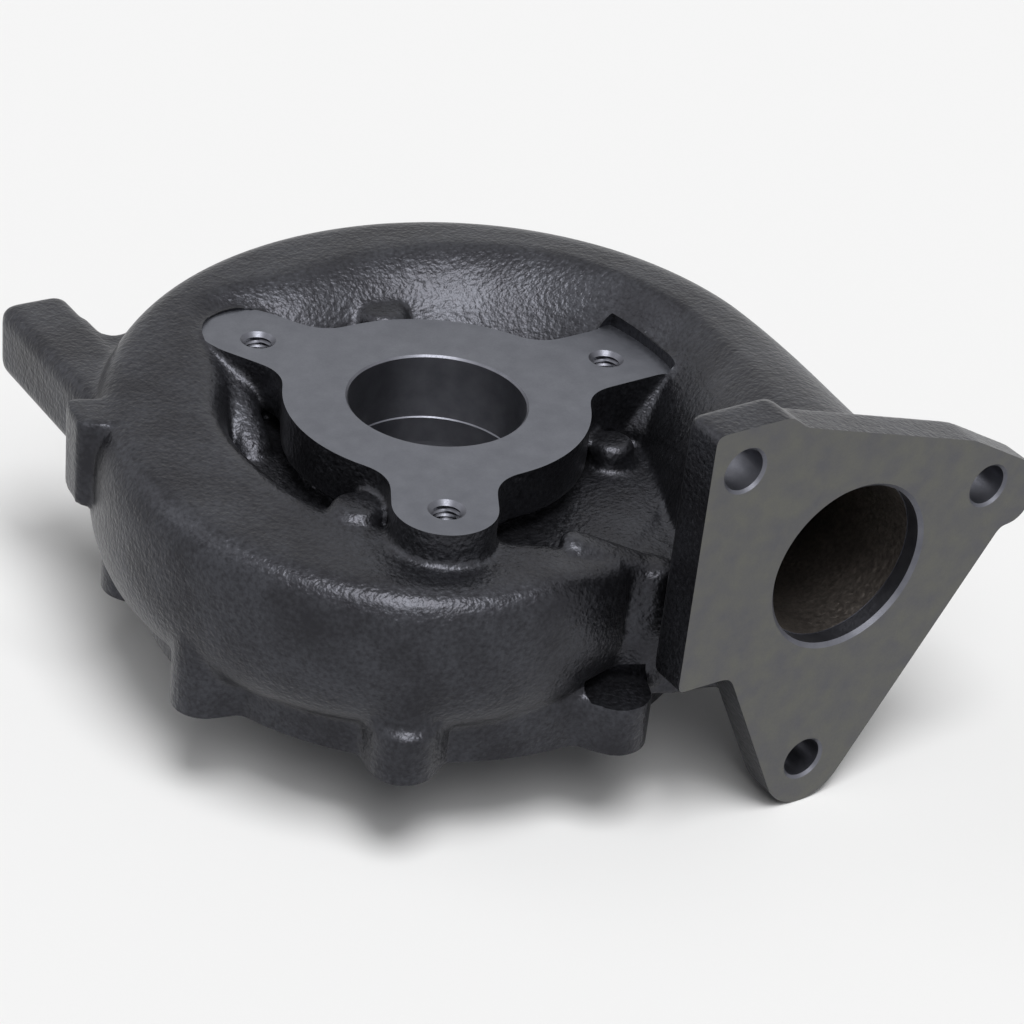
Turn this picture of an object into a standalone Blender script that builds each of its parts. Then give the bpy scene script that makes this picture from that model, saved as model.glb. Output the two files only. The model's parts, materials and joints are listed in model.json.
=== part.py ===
"""Turbine housing of a turbocharger: one iron casting, machined on its two flanges and its base.

The turbine axis is Z. Z = 0 is the base face that the centre housing bolts to, and the round
outlet flange is on top. Gas comes in through the three-cornered flange, which faces -Y, runs
along +Y and winds counter-clockwise round the axis in a scroll that gets smaller all the way.
"""

import math

import bmesh
import bpy
from mathutils import Matrix

MM = 0.001

# Overall layout, in millimetres like every size here
OUTLET_HEIGHT = 57.2        # outlet face above the base face
INLET_REACH = 86.8          # inlet face in front of the turbine axis
SCROLL_START_RADIUS = 94.7  # outside of the scroll where it starts, beside the turbine axis
PORT_X = SCROLL_START_RADIUS - 32.0     # inlet port to the right of the turbine axis
PORT_Z = 43.7               # inlet port above the base face

# Outlet flange, with three lobes. Each lobe: angle of its middle line, reach, half width
OUTLET_BORE = 44.0
OUTLET_STEP_BORE = 41.5     # lower part of the outlet bore
OUTLET_STEP_DEPTH = 17.5    # depth of the step below the outlet face
OUTLET_STEP_TAPER = 1.2
OUTLET_THICKNESS = 13.0
OUTLET_WAIST = 37.8         # radius between lobes
OUTLET_BACK_WAIST = 41.2    # radius of the waist that faces the high back of the scroll
OUTLET_HOLE_CIRCLE = 101.4
OUTLET_HOLE = 6.8           # tapping size of M8
OUTLET_HOLE_DEPTH = 12.5
FIRST_HOLE_ANGLE = 1.3      # angle of the first tapped hole from +X, in degrees
LOBES = ((2.0, 75.0, 13.0), (119.2, 65.4, 11.9), (241.0, 61.8, 12.4))
LOBE_FILLET = 11.0          # concave corner between lobe and waist
HALF_TURN = 180.0
RIGHT_LOBE_LIMIT = 61.6     # where the facing cutter stopped against the scroll
NECK_RADIUS = 33.0
NECK_FLARE = 4.0
PILLAR_SET_BACK = 0.3       # a pillar's top is this much smaller than its lobe
PILLAR_DRAFT = 1.7          # and its foot this much larger

# Inlet flange: corners of its face as (x, z, corner radius), from the turbine axis and base face
INLET_PORT = 43.0
INLET_THICKNESS = 12.0
INLET_HOLE = 10.5
INLET_HOLES = ((26.0, 79.0), (103.2, 56.3), (59.6, -11.8))
INLET_CORNERS = (
    (16.5, 20.8, 0.8), (31.8, 20.8, 3.0), (59.4, -38.2, 12.0), (110.4, 43.0, 1.0),
    (118.0, 43.0, 6.5), (119.4, 58.0, 7.0), (96.0, 70.6, 24.0), (42.0, 86.6, 4.0),
    (37.5, 90.3, 4.0), (16.5, 90.0, 1.6),
)

# Base ring
BASE_BOSS_REACH = 80.3
BASE_BOSS_RADIUS = 8.2
BASE_BOSS_FOOT = 13.0       # half width where a boss grows out of the rim
BASE_BOSS_LENGTH = 15.9     # from its tip back into the rim
BASE_BOSS_ROUND = 68.0      # half of the angle of its round tip
RIM_RADIUS = BASE_BOSS_REACH - 9.9
RIM_HEIGHT = 12.0
REGISTER_RADIUS = RIM_RADIUS - 9.4
REGISTER_DEPTH = 5.0
CAVITY_RADIUS = REGISTER_RADIUS - 6.0
SHROUD_RADIUS = 25.5        # counterbore round the turbine wheel
SHROUD_TOP = OUTLET_HEIGHT - 26.2
SHROUD_TAPER = 2.0
CAVITY_DEPTH = SHROUD_TOP - 5.0
SPOT_FACE_BOSS = 279.0      # this boss has a spot face cut into its top
SPOT_FACE_RADIUS = 8.8
SPOT_FACE_HEIGHT = 13.0
SPOT_FACE_CUT = 4.2         # how far up the spot face is cleared
# Bosses for the base screws: angle, and how high their columns stand before the wall swallows them
BASE_BOSSES = (
    (152.0, 30.0), (194.0, 30.0), (236.0, 30.0), (SPOT_FACE_BOSS, 14.0),
    (325.6, 20.0), (12.2, 24.0), (58.8, 26.0), (105.4, 28.0),
)
NOTCHED_BOSS = 236.0        # its column is set back behind a narrow ledge
NOTCH = 2.6
BASE_HOLE = 6.8             # tapping size of M8
BASE_HOLE_DEPTH = 9.5

# Scroll: outer form, as functions of the angle it has wound round the axis
SCROLL_SHRINK = 0.071       # loss of outer radius for each degree
SCROLL_START_TOP = 68.1
SCROLL_END_TOP = 48.3
SCROLL_FALL = 256.0         # the top falls over this many degrees
SCROLL_CROWN = (18.2, 11.5) # from the outermost point in to the crest, at the start and after the turn
CROWN_TURN = 120.0
SCROLL_CORNER = 3.4         # power of the rounded outer corner: 2 is an ellipse
SCROLL_BELLY = 32.0         # height of the widest point
SCROLL_BOTTOM = 9.0
SCROLL_CREST = SCROLL_START_RADIUS - 18.7   # where the inner slope starts
SCROLL_CREST_SHRINK = 0.11                  # and its loss for each degree
SLOPE_POWERS = (1.3, 3.0)   # the inner slope is nearly straight at the start and rounder at the end
SCROLL_INNER = (SCROLL_START_RADIUS - 53.7, SCROLL_START_RADIUS - 49.1)     # foot of the inner wall
INNER_LEAST = 3.0           # the inner slope is at least this wide
CREST_LEAST = 0.5           # and the flat of the crest this wide
# Beside the duct the inner wall stands steeper, up to this angle: how far its foot moves out and its top in
STEEP_END = 30.0
STEEP_FOOT = 13.0
STEEP_TOP = 6.0
STEEP_POWER = 0.3
# Behind the left lobe of the outlet flange the slope is drawn out, so that the lobe clears it
DIP_ANGLE = 117.0
DIP_WIDTH = 16.0
DIP_REACH = 9.5
TAIL_START = 240.0          # from here the inner wall swings out and the outer one in
TAIL_SETTLED = 290.0
TAIL_END = 281.0
TAIL_SWING = 12.0
TAIL_SHRINK = 6.0
TAIL_CROWN = 3.5            # loss of the crest's distance from the outside
TAIL_DROP_START = 262.0     # from here the crest comes down to the web
TAIL_DROP = 3.0
DECK_HEIGHT = OUTLET_HEIGHT - 17.2      # floor of the ring-shaped valley round the neck
DECK_OVERLAP = 12.0         # how far the floor runs in under the scroll's slope
SINK = 4.0                  # how deep a form that stands on the floor goes into it
DUCT_RADIUS = 28.7
WALL = 5.0
ROOF = 5.5                  # wall over the gas passage

# Gas passage inside the scroll
PASSAGE_FLOOR = 14.0
PASSAGE_INNER = SCROLL_START_RADIUS - 45.7  # foot of its inner wall, inside the cavity that it opens into
PASSAGE_STEEP = 10.0        # how far that foot moves out beside the duct
PASSAGE_LIP = 24.0          # from this height the inner wall leans outwards
PASSAGE_ARCH = 6.0          # least height between its widest point and its top
PASSAGE_CROWN = 7.0         # least distance from its outermost point in to its top
PASSAGE_POWERS = (2.6, 1.2, 2.4, 2.4)
PASSAGE_NARROWS = 170.0     # from here it draws in
PASSAGE_END = TAIL_END
PASSAGE_END_SHARE = 0.45    # size of the last section against the wall round it

# Web between the tail and the duct: corners (x, y, corner radius), and the round ridge at its front
WEB_CORNERS = (
    (10.0, -20.0, 2.0), (-24.0, -44.0, 4.0), (-14.0, -55.5, 5.0), (5.0, -61.5, 8.0), (15.0, -64.5, 5.0),
    (29.0, -71.0, 5.0), (48.0, -74.0, 2.0),
    (62.0, -40.0, 2.0), (55.0, -4.0, 8.0), (30.0, 4.0, 4.0),
)
WEB_HEIGHT = DECK_HEIGHT - 0.6
RIDGE = (22.8, -64.4)
RIDGE_RADIUS = 5.6
RIDGE_HEIGHT = DECK_HEIGHT + 1.0

# Lug and bosses on the casting
LUG_LOW = (-72.2, 40.0, 30.0)
LUG_HIGH = (-53.9, 98.4, 49.6)
LUG_ROUNDING = 3.6
GUSSET_CORNERS = (
    (-62.0, 50.0, 2.0), (-60.0, 84.5, 1.0), (-53.9, 84.5, 0.3), (-53.2, 72.6, 3.5), (-43.0, 75.6, 0.5),
    (-35.0, 60.0, 2.0),
)
SIDE_BOSS_CORNERS = ((-80.0, 42.0, 2.5), (-82.3, 28.5, 3.0), (-66.0, 22.0, 2.0), (-62.0, 34.0, 2.0))
SIDE_BOSS_BOTTOM = 30.0
SIDE_BOSS_TOP = 53.5
# Bosses that stand in the valley: distance, angle, radius at the top, rise from the floor, radius at the foot
VALLEY_BOSSES = (
    (44.9, 336.0, 5.8, 6.6, 6.6),
    (44.9, 215.0, 6.4, 11.5, 8.0),
    (49.3, 75.0, 7.0, 13.6, 9.0),
    (59.8, 282.0, 5.0, 4.5, 7.5),
)
# Round-backed spine from the left lobe's foot down into the valley: (distance, angle, rise) of its ends
SPINE_ENDS = ((57.0, 128.0, 12.0), (45.5, 153.0, 6.0))
SPINE_RADIUS = 4.0
SPINE_FOOT = 7.0

ROUND = 64
CAST_POINTS = 9             # points on each quarter of a section
PASSAGE_POINTS = 5
DUCT_STATIONS = 5
CAST_STATION = 9.0          # degrees between sections
PASSAGE_STATION = 12.0


def smooth_step(value):
    value = min(max(value, 0.0), 1.0)
    return value * value * (3 - 2 * value)


def new_mesh_object(name, bm, collection):
    bmesh.ops.recalc_face_normals(bm, faces=bm.faces)
    mesh = bpy.data.meshes.new(name)
    bm.to_mesh(mesh)
    bm.free()
    obj = bpy.data.objects.new(name, mesh)
    collection.objects.link(obj)
    return obj


def cylinder(name, collection, radius, bottom, top, x=0.0, y=0.0, sides=ROUND, top_radius=None):
    """An upright cylinder or cone between two heights."""
    bm = bmesh.new()
    upper = radius if top_radius is None else top_radius
    middle = Matrix.Translation((x * MM, y * MM, (bottom + top) / 2 * MM))
    bmesh.ops.create_cone(
        bm, cap_ends=True, segments=sides, radius1=radius * MM, radius2=upper * MM,
        depth=(top - bottom) * MM, matrix=middle)
    return new_mesh_object(name, bm, collection)


def cylinder_along_y(name, collection, radius, x, z, front, back, sides=32):
    bm = bmesh.new()
    place = Matrix.Translation((x * MM, (front + back) / 2 * MM, z * MM))
    turn = Matrix.Rotation(math.radians(90), 4, "X")
    bmesh.ops.create_cone(
        bm, cap_ends=True, segments=sides, radius1=radius * MM, radius2=radius * MM,
        depth=(back - front) * MM, matrix=place @ turn)
    return new_mesh_object(name, bm, collection)


def box(name, collection, low, high):
    bm = bmesh.new()
    size = [(b - a) * MM for a, b in zip(low, high)]
    middle = [(a + b) / 2 * MM for a, b in zip(low, high)]
    bmesh.ops.create_cube(bm, size=1, matrix=Matrix.Translation(middle) @ Matrix.Diagonal((*size, 1)))
    return new_mesh_object(name, bm, collection)


def turned(name, collection, profile, steps=ROUND):
    """A closed profile of (radius, height) points, which runs down its outer side, turned round Z."""
    mesh = bpy.data.meshes.new(name)
    count = len(profile)
    mesh.from_pydata([(r * MM, 0, z * MM) for r, z in profile], [(i, i + 1) for i in range(count - 1)], [])
    obj = bpy.data.objects.new(name, mesh)
    collection.objects.link(obj)
    screw = obj.modifiers.new("turn", "SCREW")
    screw.steps = steps
    screw.render_steps = steps
    screw.use_merge_vertices = True
    screw.merge_threshold = 0.00001
    return obj


def prism(name, collection, outline, bottom, top):
    """A flat outline of (x, y) points, thickened between two heights."""
    curve = bpy.data.curves.new(name, "CURVE")
    curve.dimensions = "2D"
    curve.fill_mode = "BOTH"
    curve.extrude = (top - bottom) / 2 * MM
    spline = curve.splines.new("POLY")
    spline.points.add(len(outline) - 1)
    for point, (x, y) in zip(spline.points, outline):
        point.co = (x * MM, y * MM, 0, 1)
    spline.use_cyclic_u = True
    guide = bpy.data.objects.new(name + "_outline", curve)
    collection.objects.link(guide)
    guide.location.z = (bottom + top) / 2 * MM
    bpy.context.view_layer.update()
    graph = bpy.context.evaluated_depsgraph_get()
    mesh = bpy.data.meshes.new_from_object(guide.evaluated_get(graph))
    bm = bmesh.new()
    bm.from_mesh(mesh)
    bm.transform(guide.matrix_world)
    bmesh.ops.remove_doubles(bm, verts=bm.verts, dist=0.00001)
    bpy.data.objects.remove(guide)
    bpy.data.meshes.remove(mesh)
    return new_mesh_object(name, bm, collection)


def arc(centre, radius, start, end, steps):
    """Points on an arc between two angles in degrees, both ends included."""
    turns = [math.radians(start + (end - start) * i / steps) for i in range(steps + 1)]
    return [(centre[0] + radius * math.cos(t), centre[1] + radius * math.sin(t)) for t in turns]


def polar(radius, degrees):
    turn = math.radians(degrees)
    return radius * math.cos(turn), radius * math.sin(turn)


def quarter(centre, width, height, power, start, steps):
    """A quarter of a rounded oval round centre, which leaves out its last point."""
    points = []
    for i in range(steps):
        turn = math.radians(start + 90 * i / steps)
        across, up = math.cos(turn), math.sin(turn)
        across = math.copysign(abs(across) ** (2 / power), across)
        up = math.copysign(abs(up) ** (2 / power), up)
        points.append((centre[0] + width * across, centre[1] + height * up))
    return points


def section(sizes, steps):
    """A closed section of the scroll as (distance, height), from its outermost point over the top."""
    outer, crest, slope, inner, top, belly, deck, bottom, powers = sizes
    return (
        quarter((crest, belly), outer - crest, top - belly, powers[0], 0, steps)
        + quarter((slope, deck), slope - inner, top - deck, powers[1], 90, steps)
        + quarter((slope, deck), slope - inner, deck - bottom, powers[2], 180, steps)
        + quarter((crest, belly), outer - crest, belly - bottom, powers[3], 270, steps)
    )


def steepness(wound):
    """1 beside the duct, 0 from STEEP_END on."""
    return 1 - smooth_step(wound / STEEP_END)


def scroll_sizes(wound):
    """The sizes of the casting's section after so many degrees round the axis."""
    growth = smooth_step(wound / SCROLL_FALL)
    tail = smooth_step((wound - TAIL_START) / (TAIL_SETTLED - TAIL_START))
    steep = steepness(wound)
    dip = math.exp(-((wound - DIP_ANGLE) / DIP_WIDTH) ** 2)
    outer = SCROLL_START_RADIUS - SCROLL_SHRINK * wound - TAIL_SHRINK * tail
    fall = 0.5 * (1 + math.cos(math.pi * min(wound / SCROLL_FALL, 1)))
    top = SCROLL_END_TOP + (SCROLL_START_TOP - SCROLL_END_TOP) * fall
    top -= TAIL_DROP * smooth_step((wound - TAIL_DROP_START) / (TAIL_END - TAIL_DROP_START))
    inner = SCROLL_INNER[0] + (SCROLL_INNER[1] - SCROLL_INNER[0]) * growth
    inner += TAIL_SWING * tail + STEEP_FOOT * steep
    crown = SCROLL_CROWN[0] + (SCROLL_CROWN[1] - SCROLL_CROWN[0]) * smooth_step(wound / CROWN_TURN)
    crest = outer - crown + TAIL_CROWN * tail
    slope = SCROLL_CREST - SCROLL_CREST_SHRINK * wound - STEEP_TOP * steep + DIP_REACH * dip
    slope = min(max(slope, inner + INNER_LEAST), crest - CREST_LEAST)
    power = SLOPE_POWERS[0] + (SLOPE_POWERS[1] - SLOPE_POWERS[0]) * growth * (1 - dip) + STEEP_POWER * steep
    powers = (SCROLL_CORNER, power, 5.0, 2.3)
    return [outer, crest, slope, inner, top, SCROLL_BELLY, DECK_HEIGHT - SINK, SCROLL_BOTTOM, powers]


def passage_sizes(wound):
    """The section of the gas passage: the casting's, less the wall, and drawn in towards the tongue."""
    outer, crest, slope, _, top, belly, _, _, _ = scroll_sizes(wound)
    inner = PASSAGE_INNER + PASSAGE_STEEP * steepness(wound)
    share = 1 - (1 - PASSAGE_END_SHARE) * smooth_step((wound - PASSAGE_NARROWS) / (PASSAGE_END - PASSAGE_NARROWS))
    top = PASSAGE_FLOOR + (top - ROOF - PASSAGE_FLOOR) * share
    outer = inner + (outer - WALL - inner) * share
    crest = min(crest, outer - PASSAGE_CROWN)
    slope = min(slope - WALL / 2, crest - CREST_LEAST)
    lip = min(PASSAGE_LIP, top - PASSAGE_ARCH)
    belly = min(belly, top - PASSAGE_ARCH)
    return [outer, crest, slope, inner, top, belly, lip, PASSAGE_FLOOR, PASSAGE_POWERS]


def duct_sizes(share, first, radius):
    """Sections between the scroll's first one, at share 0, and the round port, at share 1."""
    last = [PORT_X + radius, PORT_X, PORT_X, PORT_X - radius, PORT_Z + radius, PORT_Z, PORT_Z, PORT_Z - radius]
    sizes = [a + (b - a) * share for a, b in zip(first[:8], last)]
    powers = tuple(a + (2.0 - a) * share for a in first[8])
    return sizes + [powers]


def loft(name, collection, rings):
    """Closed skin over rings of points that match one to one, with flat ends."""
    bm = bmesh.new()
    rows = [[bm.verts.new([c * MM for c in point]) for point in ring] for ring in rings]
    count = len(rows[0])
    for low, high in zip(rows, rows[1:]):
        for i in range(count):
            j = (i + 1) % count
            bm.faces.new((low[i], low[j], high[j], high[i]))
    bm.faces.new(rows[0])
    bm.faces.new(rows[-1])
    return new_mesh_object(name, bm, collection)


def scroll_rings(sizes_at, radius, front, end, steps, station):
    """Rings of a tube that starts at the inlet, runs straight along +Y and then winds round the axis."""
    rings = []
    for i in range(DUCT_STATIONS):
        y = front * (1 - i / DUCT_STATIONS)
        share = smooth_step(min(-y / (INLET_REACH - INLET_THICKNESS), 1))
        ring = section(duct_sizes(share, sizes_at(0), radius), steps)
        rings.append([(u, y, z) for u, z in ring])
    stations = round(end / station)
    for i in range(stations + 1):
        wound = end * i / stations
        ring = section(sizes_at(wound), steps)
        rings.append([(*polar(u, wound), z) for u, z in ring])
    return rings


def turned_by(points, angle):
    turn = math.radians(angle)
    return [(x * math.cos(turn) - y * math.sin(turn), x * math.sin(turn) + y * math.cos(turn)) for x, y in points]


def rounded(corners):
    """An outline through (x, y, radius) corners, each of them rounded to its radius."""
    points = []
    count = len(corners)
    for i, (x, y, radius) in enumerate(corners):
        ways = []
        for other in (corners[i - 1], corners[(i + 1) % count]):
            dx, dy = other[0] - x, other[1] - y
            far = math.hypot(dx, dy)
            ways.append((dx / far, dy / far))
        half = math.acos(ways[0][0] * ways[1][0] + ways[0][1] * ways[1][1]) / 2
        middle = (ways[0][0] + ways[1][0], ways[0][1] + ways[1][1])
        scale = radius / math.sin(half) / math.hypot(*middle)
        centre = (x + middle[0] * scale, y + middle[1] * scale)
        back = radius / math.tan(half)
        start = math.atan2(y + ways[0][1] * back - centre[1], x + ways[0][0] * back - centre[0])
        stop = math.atan2(y + ways[1][1] * back - centre[1], x + ways[1][0] * back - centre[0])
        sweep = (stop - start + math.pi) % (2 * math.pi) - math.pi
        steps = 2 if radius < 2 else 6
        points += arc(centre, radius, math.degrees(start), math.degrees(start + sweep), steps)
    return points


def outlet_outline():
    """Three round lobes joined by waists that are arcs round the bore."""
    points = []
    for index, (middle, reach, half_width) in enumerate(LOBES):
        waists = [OUTLET_BACK_WAIST if index + side == 1 else OUTLET_WAIST for side in (0, 1)]
        bends = []
        for side, waist in zip((-1, 1), waists):
            lateral = half_width + LOBE_FILLET
            along = math.sqrt((waist + LOBE_FILLET) ** 2 - lateral ** 2)
            meet = math.degrees(math.atan2(lateral, along))
            bend = [(x, side * y) for x, y in arc((along, lateral), LOBE_FILLET, HALF_TURN + meet, 1.5 * HALF_TURN, 6)]
            bends.append(bend if side < 0 else bend[::-1])
        tip = arc((reach - half_width, 0), half_width, -90, 90, 14)
        points += turned_by(bends[0] + tip + bends[1], middle)
        after = LOBES[(index + 1) % 3]
        first = middle + math.degrees(math.atan2(bends[1][-1][1], bends[1][-1][0]))
        swing = math.degrees(math.asin((after[2] + LOBE_FILLET) / (waists[1] + LOBE_FILLET)))
        last = after[0] + (2 * HALF_TURN if index == 2 else 0) - swing
        points += arc((0, 0), waists[1], first, last, 8)[1:-1]
    limit = [min(1, RIGHT_LOBE_LIMIT / math.hypot(x, y)) if x > 0 else 1 for x, y in points]
    return [(x * share, y * share) for (x, y), share in zip(points, limit)]


def base_boss_outline(angle, reach):
    """A round boss with flanks that spread into the rim."""
    round_end = arc((reach - BASE_BOSS_RADIUS, 0), BASE_BOSS_RADIUS, -BASE_BOSS_ROUND, BASE_BOSS_ROUND, 8)
    root = BASE_BOSS_REACH - BASE_BOSS_LENGTH
    return turned_by([(root, -BASE_BOSS_FOOT), *round_end, (root, BASE_BOSS_FOOT)], angle)


def spine_rings():
    """The spine's foot and its flat, sloping back, as rings of (x, y, z) points."""
    (x, y, rise), (end_x, end_y, end_rise) = [(*polar(distance, angle), up) for distance, angle, up in SPINE_ENDS]
    length = math.hypot(end_x - x, end_y - y)
    across = math.atan2(end_y - y, end_x - x)
    side = math.degrees(across) + HALF_TURN / 2
    rings = []
    for radius in (SPINE_FOOT, SPINE_RADIUS):
        outline = arc((x, y), radius, side, side + HALF_TURN, 8)
        outline += arc((end_x, end_y), radius, side - HALF_TURN, side, 8)
        shares = [((u - x) * math.cos(across) + (v - y) * math.sin(across)) / length for u, v in outline]
        if radius == SPINE_FOOT:
            heights = [DECK_HEIGHT - SINK] * len(outline)
        else:
            heights = [DECK_HEIGHT + rise + (end_rise - rise) * share for share in shares]
        rings.append([(u, v, height) for (u, v), height in zip(outline, heights)])
    return rings


def combine(target, tools, operation):
    """Joins tools to target, or cuts them out of it, one after another."""
    for tool in tools:
        modifier = target.modifiers.new(tool.name, "BOOLEAN")
        modifier.operation = operation
        modifier.solver = "EXACT"
        modifier.object = tool
        tool.hide_render = True
        tool.display_type = "WIRE"


def apply_all(obj):
    """Replaces the object's mesh by its evaluated one."""
    bpy.context.view_layer.update()
    graph = bpy.context.evaluated_depsgraph_get()
    mesh = bpy.data.meshes.new_from_object(obj.evaluated_get(graph))
    obj.modifiers.clear()
    obj.data = mesh


def cast_iron():
    material = bpy.data.materials.new("cast_iron")
    material.use_nodes = True
    shader = material.node_tree.nodes["Principled BSDF"]
    shader.inputs["Base Color"].default_value = (0.022, 0.022, 0.026, 1)
    shader.inputs["Metallic"].default_value = 0.6
    shader.inputs["Roughness"].default_value = 0.55
    return material


for old in list(bpy.data.objects):
    bpy.data.objects.remove(old)

parts = bpy.data.collections.new("turbine_housing")
helpers = bpy.data.collections.new("helpers")
bpy.context.scene.collection.children.link(parts)
bpy.context.scene.collection.children.link(helpers)

# The casting: scroll and inlet duct in one sweep, then what stands on them
duct_front = -(INLET_REACH - INLET_THICKNESS / 2)
housing = loft("turbine_housing", parts, scroll_rings(
    scroll_sizes, DUCT_RADIUS, duct_front, TAIL_END, CAST_POINTS, CAST_STATION))

rim = cylinder("rim", helpers, RIM_RADIUS, 0, RIM_HEIGHT, sides=72)
deck = cylinder("deck", helpers, SCROLL_INNER[1] + DECK_OVERLAP, REGISTER_DEPTH + 3, DECK_HEIGHT)
web = prism("web", helpers, rounded(WEB_CORNERS), REGISTER_DEPTH + 1, WEB_HEIGHT)
ridge = cylinder("ridge", helpers, RIDGE_RADIUS, SPOT_FACE_HEIGHT - 3, RIDGE_HEIGHT, *RIDGE, 24)
pad_floor = OUTLET_HEIGHT - OUTLET_THICKNESS
neck = turned("neck", helpers, (
    (0, OUTLET_HEIGHT - 2), (NECK_RADIUS + NECK_FLARE, OUTLET_HEIGHT - 2),
    (NECK_RADIUS + NECK_FLARE, pad_floor + 1), (NECK_RADIUS, pad_floor + 1 - NECK_FLARE),
    (NECK_RADIUS, DECK_HEIGHT - SINK), (0, DECK_HEIGHT - SINK)))
outlet_flange = prism("outlet_flange", helpers, outlet_outline(), pad_floor, OUTLET_HEIGHT)
facing = prism("outlet_facing", helpers, outlet_outline(), OUTLET_HEIGHT, SCROLL_START_TOP + 5)

pillars = []
for number, (middle, reach, half_width) in enumerate(LOBES):
    radius = half_width - PILLAR_SET_BACK
    x, y = polar(min(reach, RIGHT_LOBE_LIMIT) - half_width - PILLAR_SET_BACK, middle)
    pillars.append(cylinder(
        f"pillar_{number}", helpers, half_width + PILLAR_DRAFT, DECK_HEIGHT - SINK - 1,
        pad_floor + 2, x, y, 28, radius))

inlet_flange = prism("inlet_flange", helpers, rounded(INLET_CORNERS), 0, INLET_THICKNESS)
inlet_flange.data.transform(
    Matrix.Translation((0, (INLET_THICKNESS - INLET_REACH) * MM, 0)) @ Matrix.Rotation(math.radians(90), 4, "X"))

bosses = []
for number, (angle, top) in enumerate(BASE_BOSSES):
    ledge = SPOT_FACE_HEIGHT if angle == NOTCHED_BOSS else top
    bosses.append(prism(f"base_boss_{number}", helpers, base_boss_outline(angle, BASE_BOSS_REACH), 0, ledge))
    if ledge < top:
        outline = base_boss_outline(angle, BASE_BOSS_REACH - NOTCH)
        bosses.append(prism(f"column_{number}", helpers, outline, ledge - 2, top))

gusset = prism("gusset", helpers, rounded(GUSSET_CORNERS), LUG_LOW[2] + 2, LUG_HIGH[2] - 1)
side_boss = prism("side_boss", helpers, rounded(SIDE_BOSS_CORNERS), SIDE_BOSS_BOTTOM, SIDE_BOSS_TOP)
lug = box("lug", helpers, LUG_LOW, LUG_HIGH)
lug_edges = lug.modifiers.new("rounding", "BEVEL")
lug_edges.width = LUG_ROUNDING * MM
lug_edges.segments = 3

valley_bosses = [loft("spine", helpers, spine_rings())]
for number, (distance, angle, radius, rise, foot) in enumerate(VALLEY_BOSSES):
    x, y = polar(distance, angle)
    valley_bosses.append(cylinder(
        f"valley_boss_{number}", helpers, foot, DECK_HEIGHT - SINK, DECK_HEIGHT + rise, x, y, 24, radius))

spot_x, spot_y = polar(BASE_BOSS_REACH - BASE_BOSS_RADIUS, SPOT_FACE_BOSS)
spot_face = cylinder(
    "spot_face", helpers, SPOT_FACE_RADIUS, SPOT_FACE_HEIGHT, SPOT_FACE_HEIGHT + SPOT_FACE_CUT,
    spot_x, spot_y, 28)

combine(housing, [rim, deck, web, ridge, neck, *bosses, side_boss, lug, gusset], "UNION")
combine(housing, [*valley_bosses, *pillars, inlet_flange], "UNION")
combine(housing, [facing], "DIFFERENCE")
combine(housing, [outlet_flange], "UNION")

# Machined and cored hollows
passage = loft("passage", helpers, scroll_rings(
    passage_sizes, INLET_PORT / 2, -(INLET_REACH + 2), PASSAGE_END, PASSAGE_POINTS, PASSAGE_STATION))
cavity = turned("cavity", helpers, (
    (0, OUTLET_HEIGHT + 1), (OUTLET_BORE / 2, OUTLET_HEIGHT + 1),
    (OUTLET_BORE / 2, OUTLET_HEIGHT - OUTLET_STEP_DEPTH),
    (OUTLET_STEP_BORE / 2, OUTLET_HEIGHT - OUTLET_STEP_DEPTH - OUTLET_STEP_TAPER),
    (OUTLET_STEP_BORE / 2, SHROUD_TOP + SHROUD_TAPER), (SHROUD_RADIUS, SHROUD_TOP),
    (SHROUD_RADIUS, CAVITY_DEPTH), (CAVITY_RADIUS, CAVITY_DEPTH),
    (CAVITY_RADIUS, REGISTER_DEPTH), (REGISTER_RADIUS, REGISTER_DEPTH),
    (REGISTER_RADIUS, -1), (0, -1)))
cuts = [passage, cavity, spot_face]
for index in range(3):
    x, y = polar(OUTLET_HOLE_CIRCLE / 2, FIRST_HOLE_ANGLE + 120 * index)
    cuts.append(cylinder(
        f"outlet_hole_{index}", helpers, OUTLET_HOLE / 2,
        OUTLET_HEIGHT - OUTLET_HOLE_DEPTH, OUTLET_HEIGHT + 1, x, y, 24))
for index, (x, z) in enumerate(INLET_HOLES):
    cuts.append(cylinder_along_y(
        f"inlet_hole_{index}", helpers, INLET_HOLE / 2, x, z,
        -INLET_REACH - 1, -INLET_REACH + INLET_THICKNESS + 6))
for index, (angle, _) in enumerate(BASE_BOSSES):
    x, y = polar(BASE_BOSS_REACH - BASE_BOSS_RADIUS, angle)
    cuts.append(cylinder(f"base_hole_{index}", helpers, BASE_HOLE / 2, -1, BASE_HOLE_DEPTH, x, y, 20))
combine(housing, cuts, "DIFFERENCE")
apply_all(housing)

housing.data.materials.clear()
housing.data.materials.append(cast_iron())
housing.data.shade_smooth()
housing.data.set_sharp_from_angle(angle=math.radians(32))
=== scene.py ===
"""Visual model of a turbocharger's turbine housing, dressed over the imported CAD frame.

The housing is one iron casting. Its rough cast form is built first, with stock left on the faces
that get machined, and is then cut as the machine shop cuts it. Sizes are in millimetres.
"""

import json
import math

import bmesh
import bpy
from mathutils import Matrix, Vector

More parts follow.
